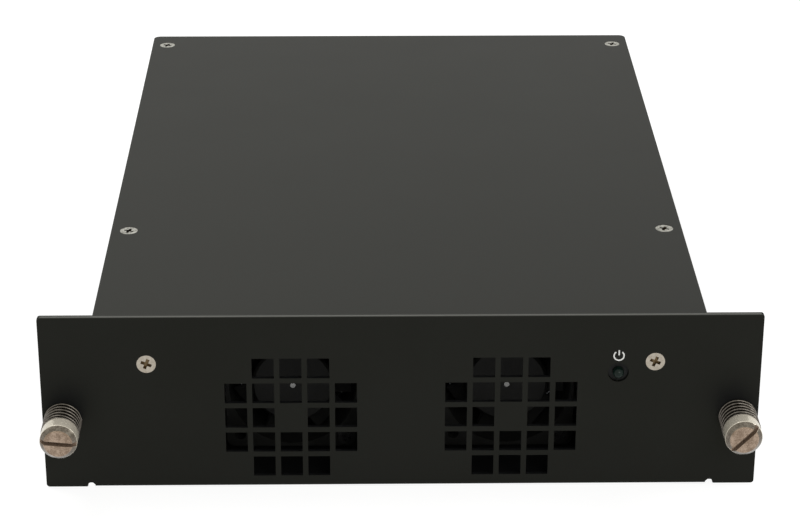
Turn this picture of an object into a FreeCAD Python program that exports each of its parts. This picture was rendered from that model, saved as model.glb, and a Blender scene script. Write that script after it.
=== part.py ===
"""Plug-in redundant power supply module in a folded steel case.

+X points to the right of the front panel, +Y to the rear and +Z up, in millimetres. The origin is the
middle of the underside of the module's box. Pieces are drawn with y = 0 on the panel's front face, and
all of them are set forward together.
"""
import FreeCAD, Part
import math
import os
import re
import Sketcher

SIZES = {
    # Folded steel case
    "sheet_gauge": 1.4,
    "bend_radius": 0.5,
    "case_width": 181.0,
    "case_depth": 267.4,
    "side_wall_start": 4.0,
    "flange_width": 11.5,
    "corner_gap": 0.5,
    "rear_wall_gap": 0.3,
    # Front panel
    "panel_rise": 8.2,
    "wing_width": 13.8,
    "panel_corner": 1.0,
    "panel_fold": 0.6,
    "notch_offset": 0.5,
    "notch_width": 2.1,
    "notch_height": 1.3,
    "notch_round": 0.7,
    "notch_lip": 0.5,
    "grille_pitch": 8.0,
    "grille_hole": 6.4,
    # Top cover
    "cover_gap": 0.3,
    "cover_corner": 2.5,
    "tab_width": 10.0,
    "tab_drop": 11.5,
    "tab_leg": 6.0,
    "tab_relief": 1.0,
    # Countersunk screws of the cover, the panel and the fan bracket
    "screw_diameter": 3.0,
    "screw_length": 6.0,
    "screw_sink": 0.1,
    "screw_gap": 0.05,
    "cross_reach": 1.6,
    "cross_width": 0.95,
    "cross_depth": 1.1,
    "cross_turn": 22.0,
    "cover_screw_inset": 5.6,
    "cover_screw_front": 80.8,
    "cover_screw_rear": 9.8,
    "panel_screw_inset": 17.0,
    "panel_screw_drop": 6.9,
    # Captive screws
    "captive_inset": 6.1,
    "captive_height": 22.5,
    "captive_hole": 6.6,
    "captive_head": 10.8,
    "captive_head_length": 5.9,
    "captive_neck": 6.0,
    "captive_thread": 5.0,
    "head_reach": 15.6,
    "head_bevel": 1.5,
    "head_bevel_depth": 1.7,
    "slot_width": 1.2,
    "slot_depth": 2.0,
    "left_slot_turn": 6.0,
    "right_slot_turn": -46.0,
    "tail_reach": 10.0,
    "tail_bevel": 0.7,
    "ring_outer": 9.4,
    "ring_thickness": 0.8,
    "ring_gap": 0.1,
    "groove_depth": 0.6,
    "spring_outer": 11.2,
    "spring_wire": 0.7,
    "spring_coils": 6.0,
    # Fans
    "fan_size": 40.0,
    "fan_thickness": 20.0,
    "fan_spacing": 64.0,
    "fan_setback": 19.7,
    "fan_floor_gap": 1.1,
    "fan_top_gap": 3.1,
    "fan_corner": 2.5,
    "fan_bore": 38.0,
    "fan_hole_pitch": 32.0,
    "fan_hole": 3.4,
    "fan_flange": 3.6,
    "duct_wall": 0.9,
    "fan_base": 2.5,
    "strut_width": 2.6,
    "hub_diameter": 24.6,
    "hub_wall": 1.2,
    "hub_recess": 1.2,
    "hub_length": 14.5,
    "hub_chamfer": 0.8,
    "blade_tip_gap": 0.8,
    "blade_chord": 11.0,
    "blade_thickness": 0.9,
    "blade_root_angle": 48.0,
    "blade_tip_angle": 60.0,
    "shaft_diameter": 1.6,
    "shaft_proud": 0.3,
    "shaft_gap": 0.05,
    "bearing_wall": 2.2,
    "bearing_length": 11.0,
    "stator_gap": 0.8,
    # Fan bracket
    "bracket_margin": 6.0,
    "bracket_foot": 14.0,
    "bracket_screw_pitch": 46.0,
    "fan_screw_head": 5.4,
    "fan_screw_head_height": 1.8,
    # Status lamp
    "lamp_offset": 10.6,
    "lamp_drop": 3.4,
    "lamp_hole": 6.0,
    "lamp_diameter": 3.2,
    "lamp_proud": 1.7,
    "lamp_length": 8.0,
    "holder_gap": 0.05,
    "holder_recess": 0.9,
    "holder_length": 5.0,
    "collar_rim": 0.6,
    "collar_length": 1.5,
    # Circuit board and its supports
    "board_thickness": 1.6,
    "board_front_gap": 6.0,
    "board_rear_gap": 2.0,
    "board_side_gap": 5.3,
    "standoff_height": 6.0,
    "standoff_width": 5.6,
    "standoff_stem": 4.2,
    "standoff_inset": 6.0,
    "board_screw_head": 5.4,
    "board_screw_height": 1.8,
    "insulator_thickness": 0.4,
    "insulator_inset": 1.0,
    "insulator_hole_gap": 0.5,
    # Heat sinks and the devices on them
    "sink_offset": 29.0,
    "sink_start": 12.0,
    "sink_length": 96.0,
    "sink_height": 30.0,
    "sink_web": 3.0,
    "fin_reach": 9.0,
    "fin_thickness": 1.4,
    "device_width": 15.6,
    "device_height": 20.0,
    "device_thickness": 4.6,
    "device_lift": 4.0,
    "device_pitch": 28.0,
    # Transformer
    "core_width": 36.0,
    "core_height": 27.0,
    "core_depth": 11.0,
    "core_leg": 6.0,
    "core_start": 46.0,
    "winding_depth": 24.0,
    "winding_gap": 0.3,
    # Chokes and capacitors
    "part_edge_gap": 7.0,
    "choke_outer": 24.0,
    "choke_inner": 11.0,
    "choke_height": 13.0,
    "line_choke_start": 132.0,
    "output_choke_start": 26.0,
    "bulk_diameter": 22.0,
    "bulk_height": 30.0,
    "bulk_pitch": 26.0,
    "bulk_start": 26.0,
    "bulk_rim": 1.0,
    "output_can_diameter": 12.5,
    "output_can_height": 25.0,
    "output_can_pitch": 16.0,
    "output_can_start": 60.0,
    "film_width": 26.0,
    "film_thickness": 9.0,
    "film_height": 17.0,
    "film_pitch": 13.0,
    "film_start": 132.0,
    # Fuse and the upright control board
    "fuse_diameter": 6.3,
    "fuse_length": 30.0,
    "fuse_start": 154.0,
    "clip_width": 6.0,
    "clip_wall": 0.6,
    "control_width": 38.0,
    "control_height": 22.0,
    "control_start": 122.0,
    # Input terminal block
    "block_inset": 38.5,
    "block_height": 24.0,
    "block_width": 41.0,
    "block_tall": 22.0,
    "block_inside": 10.0,
    "block_flange": 10.0,
    "block_flange_thickness": 2.5,
    "block_cut_gap": 0.2,
    "barrier_wall": 2.0,
    "rear_reach": 14.6,
    "plate_thickness": 1.0,
    "plate_side_gap": 0.6,
    "terminal_head": 6.6,
    "terminal_head_height": 3.0,
    "block_screw_pitch": 51.0,
    # Output connector
    "connector_inset": 38.5,
    "connector_width": 36.0,
    "connector_tall": 13.0,
    "connector_wall": 1.5,
    "connector_inside": 15.0,
    "connector_proud": 2.0,
    "socket_depth": 12.0,
    "connector_cut_gap": 0.3,
    "pin_width": 1.1,
    "pin_pitch": 4.2,
    "pin_length": 5.5,
    # Vents in the rear wall
    "vent_drop": 8.5,
}

FRONT = "XZ_Plane"
TOP = "XY_Plane"
SIDE = "YZ_Plane"
SIDES = ("-1", "1")
FAN_SIDES = {"left": "-1", "right": "1"}
BLADE_COUNT = 7
FIN_COUNT = 4
BULK_CANS = 3
OUTPUT_CANS = 3
FILM_BLOCKS = 2
TERMINALS = 3
PIN_COLUMNS = 7
TALL_VENTS = 5
SHORT_VENTS = 6

# Heights and distances that several pieces share
HALF_CASE = "(case_width / 2)"
HALF_PANEL = "(case_width / 2 + wing_width)"
CASE_TOP = "(2 * sheet_gauge + fan_floor_gap + fan_size + fan_top_gap)"
FLANGE_TOP = f"({CASE_TOP} - sheet_gauge)"
PANEL_TOP = f"({CASE_TOP} + panel_rise)"
OUTER_BEND = "bend_radius + sheet_gauge"
TAB_FRONT = "(sheet_gauge + cover_gap)"
FAN_AXIS = "(sheet_gauge + fan_floor_gap + fan_size / 2)"
FAN_REAR = "(fan_setback + fan_thickness)"
BRACKET_HALF = "(fan_spacing / 2 + fan_size / 2 + bracket_margin)"
BRACKET_BACK = f"({FAN_REAR} + sheet_gauge)"
CAPTIVE_X = f"({HALF_PANEL} - captive_inset)"
PANEL_SCREW_X = f"({HALF_CASE} - panel_screw_inset)"
PANEL_SCREW_Z = f"({CASE_TOP} - panel_screw_drop)"
LAMP_X = f"({PANEL_SCREW_X} - lamp_offset)"
LAMP_Z = f"({PANEL_SCREW_Z} - lamp_drop)"
BOARD_FRONT = f"({BRACKET_BACK} + bracket_foot + board_front_gap)"
BOARD_REAR = "(case_depth - sheet_gauge - board_rear_gap)"
BOARD_HALF = f"({HALF_CASE} - sheet_gauge - board_side_gap)"
BOARD_UNDER = "(sheet_gauge + standoff_height)"
BOARD_TOP = f"({BOARD_UNDER} + board_thickness)"
BOARD_MARGIN = f"({BOARD_HALF} - part_edge_gap)"
BLOCK_X = f"(block_inset - {HALF_CASE})"
CONNECTOR_X = f"({HALF_CASE} - connector_inset)"

# Screws, their heads and their places
SCREW_HOLE = "(screw_diameter + 2 * screw_gap)"
SCREW_HEAD = "(screw_diameter + 2 * (sheet_gauge - screw_sink))"
COUNTERSINK = f"({SCREW_HEAD} + 2 * screw_sink + 2 * screw_gap)"
PANEL_SCREWS = [(f"{side} * {PANEL_SCREW_X}", PANEL_SCREW_Z) for side in SIDES]
COVER_SCREWS = [
    (f"{side} * ({HALF_CASE} - cover_screw_inset)", line)
    for side in SIDES
    for line in ("cover_screw_front", "case_depth - cover_screw_rear")
]
BRACKET_SCREWS = [
    (f"{step} * bracket_screw_pitch", f"{BRACKET_BACK} + bracket_foot / 2")
    for step in (-1, 0, 1)
]
FAN_SCREWS = [
    (f"{side} * fan_spacing / 2 + {step} * fan_hole_pitch / 2", f"{FAN_AXIS} - {step} * fan_hole_pitch / 2")
    for side in SIDES
    for step in (-1, 1)
]
STANDOFFS = [
    (f"{side} * ({BOARD_HALF} - standoff_inset)", line)
    for side in SIDES
    for line in (f"{BOARD_FRONT} + standoff_inset", f"({BOARD_FRONT} + {BOARD_REAR}) / 2",
                 f"{BOARD_REAR} - standoff_inset")
]

doc = FreeCAD.newDocument("PowerModule")
sheet = doc.addObject("Spreadsheet::Sheet", "Dims")
for row, (size_name, size_value) in enumerate(SIZES.items(), start=1):
    sheet.set(f"A{row}", size_name)
    sheet.set(f"B{row}", str(size_value))
    sheet.setAlias(f"B{row}", size_name)
doc.recompute()

sub_parts = []


def refer(formula):
    """A formula in the sheet's names as an expression that points to the sheet."""
    return re.sub(r"[a-z]+(?:_[a-z]+)+", r"Dims.\g<0>", formula)


def bind(thing, **formulas):
    """Bind properties to formulas; two underscores in a name stand for a point."""
    for path, formula in formulas.items():
        thing.setExpression(path.replace("__", "."), refer(formula))


def mm(formula):
    """Present value of a formula."""
    return float(sheet.evalExpression(refer(formula)))


def locate(thing, across="0", back="0", up="0"):
    """Place a piece: back is measured from the panel's front face."""
    bind(thing, Placement__Base__x=across, Placement__Base__z=up,
         Placement__Base__y=f"{back} + (head_reach - case_depth - rear_reach) / 2")


def new_body(label, **place):
    """Body of one sub-part."""
    body = doc.addObject("PartDesign::Body", label)
    body.Label = label
    locate(body, **place)
    sub_parts.append(body)
    return body


def origin_feature(body, role):
    """Plane or axis of the body's own origin."""
    return [feature for feature in body.Origin.OriginFeatures if feature.Role == role][0]


def draw(body, plane, level, outlines=(), circles=()):
    """Sketch at a level on an origin plane, with corners and centres placed by formulas."""
    sketch = body.newObject("Sketcher::SketchObject", "sketch")
    sketch.AttachmentSupport = [(origin_feature(body, plane), "")]
    sketch.MapMode = "FlatFace"
    # The normal of the front plane points to the viewer, against y
    bind(sketch, AttachmentOffset__Base__z=f"-({level})" if plane == FRONT else level)
    shapes = []
    rules = []
    formulas = []

    def fix(kind, geometry, point, value, formula):
        rules.append(Sketcher.Constraint(kind, -1, 1, geometry, point, value))
        formulas.append(formula)

    for corners in outlines:
        first = len(shapes)
        count = len(corners)
        angles = [2 * math.pi * number / count for number in range(count)]
        starts = [FreeCAD.Vector(math.cos(angle), math.sin(angle), 0) for angle in angles]
        for number, (across, up) in enumerate(corners):
            shapes.append(Part.LineSegment(starts[number], starts[(number + 1) % count]))
            before = first + (number - 1) % count
            rules.append(Sketcher.Constraint("Coincident", before, 2, first + number, 1))
            formulas.append(None)
            fix("DistanceX", first + number, 1, starts[number].x, across)
            fix("DistanceY", first + number, 1, starts[number].y, up)
    for across, up, diameter in circles:
        number = len(shapes)
        shapes.append(Part.Circle(FreeCAD.Vector(1, 1, 0), FreeCAD.Vector(0, 0, 1), 1))
        fix("DistanceX", number, 3, 1, across)
        fix("DistanceY", number, 3, 1, up)
        rules.append(Sketcher.Constraint("Diameter", number, 2))
        formulas.append(diameter)
    sketch.addGeometry(shapes)
    sketch.addConstraint(rules)
    for number, formula in enumerate(formulas):
        if formula is not None:
            sketch.setExpression(f"Constraints[{number}]", refer(formula))
    return sketch


def rectangle(left, low, right, high):
    """Corners of an upright rectangle."""
    return [(left, low), (right, low), (right, high), (left, high)]


def centred(across, up, half_width, half_height):
    """Corners of an upright rectangle about its middle."""
    return rectangle(f"{across} - {half_width}", f"{up} - {half_height}",
                     f"{across} + {half_width}", f"{up} + {half_height}")


def slanted(across, up, half_width, half_height, turn):
    """Corners of a rectangle about its middle, turned clockwise."""
    corners = []
    for x, z in ((-1, -1), (1, -1), (1, 1), (-1, 1)):
        along = f"{x} * {half_width}"
        rise = f"{z} * {half_height}"
        corners.append((f"{across} + {along} * cos({turn}) + {rise} * sin({turn})",
                        f"{up} - {along} * sin({turn}) + {rise} * cos({turn})"))
    return corners


def square(across, up, width):
    """Corners of a square about its middle."""
    return centred(across, up, f"{width} / 2", f"{width} / 2")


def polygon(across, up, radius, count):
    """Corners of a regular polygon, with a flat to the right."""
    turns = [f"{(number + 0.5) * 360 / count} deg" for number in range(count)]
    return [(f"{across} + {radius} * cos({turn})", f"{up} + {radius} * sin({turn})") for turn in turns]


def mirrored(outline):
    """The same outline on the other side of the middle plane."""
    return [(f"-{across}", up) for across, up in reversed(outline)]


def rounds(places, diameter):
    """Circles of one diameter at several places."""
    return [(across, up, diameter) for across, up in places]


def extrude(body, kind, plane, level, length, outlines, circles, back, taper=0):
    """Pad or pocket a sketch along the axis that crosses its plane, or back against that axis."""
    sketch = draw(body, plane, level, outlines, circles)
    feature = body.newObject(f"PartDesign::{kind}", kind.lower())
    feature.Profile = sketch
    runs_forward = (kind == "Pad") != (plane == FRONT)
    feature.Reversed = runs_forward == back
    feature.TaperAngle = taper
    bind(feature, Length=length)
    return feature


def add(body, plane, level, length, outlines=(), circles=(), back=False, taper=0):
    """Pad from a level on a plane."""
    return extrude(body, "Pad", plane, level, length, outlines, circles, back, taper)


def cut(body, plane, level, length, outlines=(), circles=(), back=False):
    """Pocket from a level on a plane."""
    return extrude(body, "Pocket", plane, level, length, outlines, circles, back)


def revolve(body, outline):
    """Turn an outline of the top plane about the body's y axis."""
    sketch = draw(body, TOP, "0", outlines=[outline])
    feature = body.newObject("PartDesign::Revolution", "turned")
    feature.Profile = sketch
    feature.ReferenceAxis = (sketch, ["V_Axis"])
    return feature


def repeat(body, feature, length, count, second_length=None, second_count=1):
    """Repeat a feature to the right over a length, and the whole row over a second length."""
    doc.recompute()
    pattern = body.newObject("PartDesign::LinearPattern", "row")
    pattern.Originals = [feature]
    pattern.Direction = (origin_feature(body, "X_Axis"), [""])
    pattern.Occurrences = count
    bind(pattern, Length=length)
    if second_length is not None:
        pattern.Direction2 = (origin_feature(body, "X_Axis"), [""])
        pattern.Occurrences2 = second_count
        bind(pattern, Length2=second_length)
    body.Tip = pattern
    return pattern


def soften(body, kind, size, chosen):
    """Fillet or chamfer those edges of the body's last feature that a test chooses."""
    doc.recompute()
    base = body.Tip
    edges = [f"Edge{number}" for number, edge in enumerate(base.Shape.Edges, start=1) if chosen(edge)]
    feature = body.newObject(f"PartDesign::{kind}", kind.lower())
    feature.Base = (base, edges)
    bind(feature, **{"Radius" if kind == "Fillet" else "Size": size})
    return feature


def edge_along(axis, **places):
    """Test for straight edges along an axis, at given distances from the body's middle planes."""
    levels = {name: [mm(formula) for formula in formulas] for name, formulas in places.items()}

    def chosen(edge):
        if edge.Curve.TypeId != "Part::GeomLine":
            return False
        if abs(getattr(edge.tangentAt(edge.FirstParameter), axis)) < 0.999:
            return False
        middle = edge.CenterOfMass
        return all(min(abs(abs(getattr(middle, name)) - value) for value in values) < 0.01
                   for name, values in levels.items())
    return chosen


def rim_at(height):
    """Test for whole circles that lie flat at a height."""
    level = mm(height)

    def chosen(edge):
        return edge.Curve.TypeId == "Part::GeomCircle" and abs(edge.Curve.Center.z - level) < 0.01
    return chosen


def countersink(body, plane, level, centres, from_below=False):
    """Countersunk clearance holes for flat-head screws."""
    sketch = draw(body, plane, level, circles=rounds(centres, SCREW_HOLE))
    doc.recompute()
    hole = body.newObject("PartDesign::Hole", "countersink")
    hole.Profile = sketch
    hole.Reversed = from_below
    hole.DepthType = "Dimension"
    hole.DrillPoint = "Flat"
    hole.HoleCutType = "Countersink"
    hole.HoleCutCustomValues = True
    hole.HoleCutCountersinkAngle = 90
    bind(hole, Diameter=SCREW_HOLE, HoleCutDiameter=COUNTERSINK, Depth="2 * sheet_gauge")
    return hole


def cross_recesses(body, plane, level, centres, back):
    """Two crossing slots in the head of each screw, turned as the screw was left."""
    arm = "cross_reach"
    half = "cross_width / 2"
    for reach, rise in ((arm, half), (half, arm)):
        slots = [slanted(across, up, reach, rise, "cross_turn * 1 deg") for across, up in centres]
        cut(body, plane, level, "cross_depth", outlines=slots, back=back)


def flat_head_screws(label, plane, level, centres, back=False):
    """Group of countersunk screws, their heads sunk a little under the sheet's face."""
    body = new_body(label)
    cones = rounds(centres, SCREW_HEAD)
    add(body, plane, level, "sheet_gauge - screw_sink", circles=cones, back=back, taper=-45)
    add(body, plane, level, "screw_length", circles=rounds(centres, "screw_diameter"), back=back)
    cross_recesses(body, plane, level, centres, back)


def pan_head_screws(body, plane, seat, centres, head, head_height, length, back=False):
    """Group of screws whose heads stand on a face at the level of the seat."""
    add(body, plane, seat, head_height, circles=rounds(centres, head), back=not back)
    add(body, plane, seat, length, circles=rounds(centres, "screw_diameter"), back=back)
    face = f"{seat} + {head_height}" if back else f"{seat} - {head_height}"
    cross_recesses(body, plane, face, centres, back)


def chassis_tray():
    """Floor, front panel, side walls and rear wall, folded from one sheet."""
    body = new_body("chassis_tray")
    inner = f"({HALF_CASE} - sheet_gauge)"
    lip = f"({HALF_CASE} - flange_width)"
    under = f"({FLANGE_TOP} - sheet_gauge)"
    wall_end = f"(case_depth - ({OUTER_BEND}) - corner_gap)"
    # Channel of the floor, the side walls and their inward flanges
    right = [(HALF_CASE, "0"), (HALF_CASE, FLANGE_TOP), (lip, FLANGE_TOP), (lip, under), (inner, under),
             (inner, "sheet_gauge")]
    add(body, FRONT, "side_wall_start", f"{wall_end} - side_wall_start", outlines=[right + mirrored(right)])
    soften(body, "Fillet", OUTER_BEND, edge_along("y", x=[HALF_CASE], z=["0", FLANGE_TOP]))
    soften(body, "Fillet", "bend_radius", edge_along("y", x=[inner], z=["sheet_gauge", under]))
    # Front fold: the panel between the relief notches
    fold = f"({HALF_CASE} + notch_offset - notch_width / 2)"
    add(body, SIDE, f"-{fold}", f"2 * {fold}", outlines=[[
        ("0", "0"), ("side_wall_start", "0"), ("side_wall_start", "sheet_gauge"),
        ("sheet_gauge", "sheet_gauge"), ("sheet_gauge", PANEL_TOP), ("0", PANEL_TOP)]])
    soften(body, "Fillet", "panel_fold", edge_along("x", y=["0"], z=["0"]))
    soften(body, "Fillet", "bend_radius", edge_along("x", y=["sheet_gauge"], z=["sheet_gauge"]))
    # Rear fold: the rear wall between the side walls
    rear_half = f"({inner} - corner_gap)"
    rear_top = f"({FLANGE_TOP} - rear_wall_gap)"
    rear_inside = "case_depth - sheet_gauge"
    add(body, SIDE, f"-{rear_half}", f"2 * {rear_half}", outlines=[[
        (wall_end, "0"), ("case_depth", "0"), ("case_depth", rear_top), (rear_inside, rear_top),
        (rear_inside, "sheet_gauge"), (wall_end, "sheet_gauge")]])
    soften(body, "Fillet", OUTER_BEND, edge_along("x", y=["case_depth"], z=["0"]))
    soften(body, "Fillet", "bend_radius", edge_along("x", y=[rear_inside], z=["sheet_gauge"]))
    # Wings of the panel, parted from the floor's fold by bell-shaped notches
    notch_end = f"({fold} + notch_width)"
    wing = [(fold, "notch_height - notch_round"), (f"({fold} + notch_round)", "notch_height"),
            (notch_end, "notch_height"), (notch_end, "0"), (HALF_PANEL, "0"), (HALF_PANEL, PANEL_TOP),
            (fold, PANEL_TOP)]
    add(body, FRONT, "0", "sheet_gauge", outlines=[wing, mirrored(wing)])
    soften(body, "Fillet", "panel_corner", edge_along("y", x=[HALF_PANEL], z=["0", PANEL_TOP]))
    soften(body, "Fillet", "notch_round", edge_along("y", x=[notch_end], z=["notch_height"]))
    soften(body, "Fillet", "notch_lip", edge_along("y", x=[notch_end], z=["0"]))
    # Grille of each fan: five columns of square holes, without the corners and the middle
    for column, lines in ((2, (-1, 0, 1)), (1, (-2, -1, 0, 1, 2)), (0, (-2, -1, 1, 2))):
        across = f"-fan_spacing / 2 - {column} * grille_pitch"
        holes = [square(across, f"{FAN_AXIS} + {line} * grille_pitch", "grille_hole") for line in lines]
        strip = cut(body, FRONT, "0", "2 * sheet_gauge", outlines=holes)
        if column:
            repeat(body, strip, "fan_spacing", 2, f"{2 * column} * grille_pitch", 2)
        else:
            repeat(body, strip, "fan_spacing", 2)
    # Lamp hole, captive screw holes and screw holes of the panel
    captive = [(f"{side} * {CAPTIVE_X}", "captive_height", "captive_hole") for side in SIDES]
    cut(body, FRONT, "0", "2 * sheet_gauge", circles=captive + [(LAMP_X, LAMP_Z, "lamp_hole")])
    countersink(body, FRONT, "0", PANEL_SCREWS)
    # Tapped holes of the flanges, and the holes of the floor
    cut(body, TOP, under, "2 * sheet_gauge", circles=rounds(COVER_SCREWS, SCREW_HOLE))
    stems = rounds(STANDOFFS, "standoff_stem + 2 * screw_gap")
    cut(body, TOP, "-sheet_gauge", "3 * sheet_gauge", circles=stems)
    countersink(body, TOP, "0", BRACKET_SCREWS, from_below=True)
    # Vents of the rear wall: tall columns in the middle and short ones over the connector
    wall_cut = ("case_depth - 2 * sheet_gauge", "3 * sheet_gauge")
    for first, count, lines in ((-1, TALL_VENTS, 4), (TALL_VENTS - 1, SHORT_VENTS, 2)):
        heights = [f"{CASE_TOP} - vent_drop - {line} * grille_pitch" for line in range(lines)]
        holes = [square(f"{first} * grille_pitch", height, "grille_hole") for height in heights]
        strip = cut(body, FRONT, *wall_cut, outlines=holes)
        repeat(body, strip, f"{count - 1} * grille_pitch", count)
    # Openings of the terminal block and of the connector
    block = centred(BLOCK_X, "block_height", "(block_width / 2 + block_cut_gap)",
                    "(block_tall / 2 + block_cut_gap)")
    plug = centred(CONNECTOR_X, f"({BOARD_TOP} + connector_tall / 2)",
                   "(connector_width / 2 + connector_cut_gap)", "(connector_tall / 2 + connector_cut_gap)")
    ears = [(f"{BLOCK_X} + {side} * block_screw_pitch / 2", "block_height") for side in SIDES]
    cut(body, FRONT, *wall_cut, outlines=[block, plug], circles=rounds(ears, SCREW_HOLE))


def top_cover():
    """Flat cover with two tabs folded down behind the panel."""
    body = new_body("top_cover")
    front = f"({TAB_FRONT} + {OUTER_BEND})"
    # The front edge is notched beside each tab for the bend
    edge = [(f"-{HALF_CASE}", TAB_FRONT)]
    for side in SIDES:
        left = f"{side} * {PANEL_SCREW_X} - tab_width / 2 - tab_relief"
        right = f"{side} * {PANEL_SCREW_X} + tab_width / 2 + tab_relief"
        edge += [(left, TAB_FRONT), (left, front), (right, front), (right, TAB_FRONT)]
    edge += [(HALF_CASE, TAB_FRONT), (HALF_CASE, "case_depth"), (f"-{HALF_CASE}", "case_depth")]
    add(body, TOP, FLANGE_TOP, "sheet_gauge", outlines=[edge])
    soften(body, "Fillet", "cover_corner", edge_along("z", x=[HALF_CASE], y=["case_depth"]))
    back = f"({TAB_FRONT} + sheet_gauge)"
    leg_end = f"({front} + tab_leg)"
    bottom = f"({CASE_TOP} - tab_drop)"
    tab = [(TAB_FRONT, bottom), (back, bottom), (back, FLANGE_TOP), (leg_end, FLANGE_TOP),
           (leg_end, CASE_TOP), (TAB_FRONT, CASE_TOP)]
    for side in SIDES:
        add(body, SIDE, f"{side} * {PANEL_SCREW_X} - tab_width / 2", "tab_width", outlines=[tab])
    soften(body, "Fillet", OUTER_BEND, edge_along("x", x=[PANEL_SCREW_X], y=[TAB_FRONT], z=[CASE_TOP]))
    soften(body, "Fillet", "bend_radius", edge_along("x", y=[back], z=[FLANGE_TOP]))
    cut(body, FRONT, TAB_FRONT, "2 * sheet_gauge", circles=rounds(PANEL_SCREWS, SCREW_HOLE))
    countersink(body, TOP, CASE_TOP, COVER_SCREWS)


def case_screws():
    """Countersunk screws of the cover and of the front panel."""
    flat_head_screws("cover_screws", TOP, f"{CASE_TOP} - screw_sink", COVER_SCREWS, back=True)
    flat_head_screws("panel_screws", FRONT, "screw_sink", PANEL_SCREWS)


def captive_screw(side_name, side):
    """Turned screw, the ring that keeps it in the panel and the spring under its head."""
    place = {"across": f"{side} * {CAPTIVE_X}", "up": "captive_height"}
    head = "captive_head / 2"
    neck = "captive_neck / 2"
    thread = "captive_thread / 2"
    groove = "(captive_thread / 2 - groove_depth)"
    groove_back = "(sheet_gauge + ring_thickness + 2 * ring_gap)"
    face = "-head_reach"
    head_back = "(captive_head_length - head_reach)"
    screw = new_body(f"{side_name}_captive_screw", **place)
    screw.Placement.Rotation = FreeCAD.Rotation(FreeCAD.Vector(0, 1, 0), 1)
    bind(screw, Placement__Rotation__Angle=f"{side_name}_slot_turn * 1 deg")
    revolve(screw, [
        ("0", face), (f"{head} - head_bevel", face), (head, f"{face} + head_bevel_depth"), (head, head_back),
        (neck, head_back), (neck, "sheet_gauge"), (groove, "sheet_gauge"), (groove, groove_back),
        (thread, groove_back), (thread, "tail_reach - tail_bevel"), (f"{thread} - tail_bevel", "tail_reach"),
        ("0", "tail_reach")])
    cut(screw, FRONT, face, "slot_depth", outlines=[centred("0", "0", "captive_head", "slot_width / 2")])

    ring = new_body(f"{side_name}_retaining_ring", **place)
    washer = [("0", "0", "ring_outer"), ("0", "0", f"2 * ({groove} + ring_gap)")]
    mouth = rectangle(f"-{groove}", "-ring_outer", groove, "0")
    add(ring, FRONT, "sheet_gauge + ring_gap", "ring_thickness", circles=washer)
    cut(ring, FRONT, "sheet_gauge", "2 * ring_thickness", outlines=[mouth])

    spring = new_body(f"{side_name}_captive_spring", **place)
    middle = "spring_outer / 2 - spring_wire / 2"
    wire = draw(spring, TOP, "0", outlines=[polygon(middle, head_back, "spring_wire / 2", 6)])
    coil = spring.newObject("PartDesign::AdditiveHelix", "coil")
    coil.Profile = wire
    coil.ReferenceAxis = (wire, ["V_Axis"])
    coil.Mode = "height-turns-angle"
    bind(coil, Height="head_reach - captive_head_length", Turns="spring_coils")
    # Both ends are ground flat, on the head and on the panel
    cap = [("0", "0", "2 * spring_outer")]
    cut(spring, FRONT, head_back, "spring_wire", circles=cap, back=True)
    cut(spring, FRONT, "0", "spring_wire", circles=cap)


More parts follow.
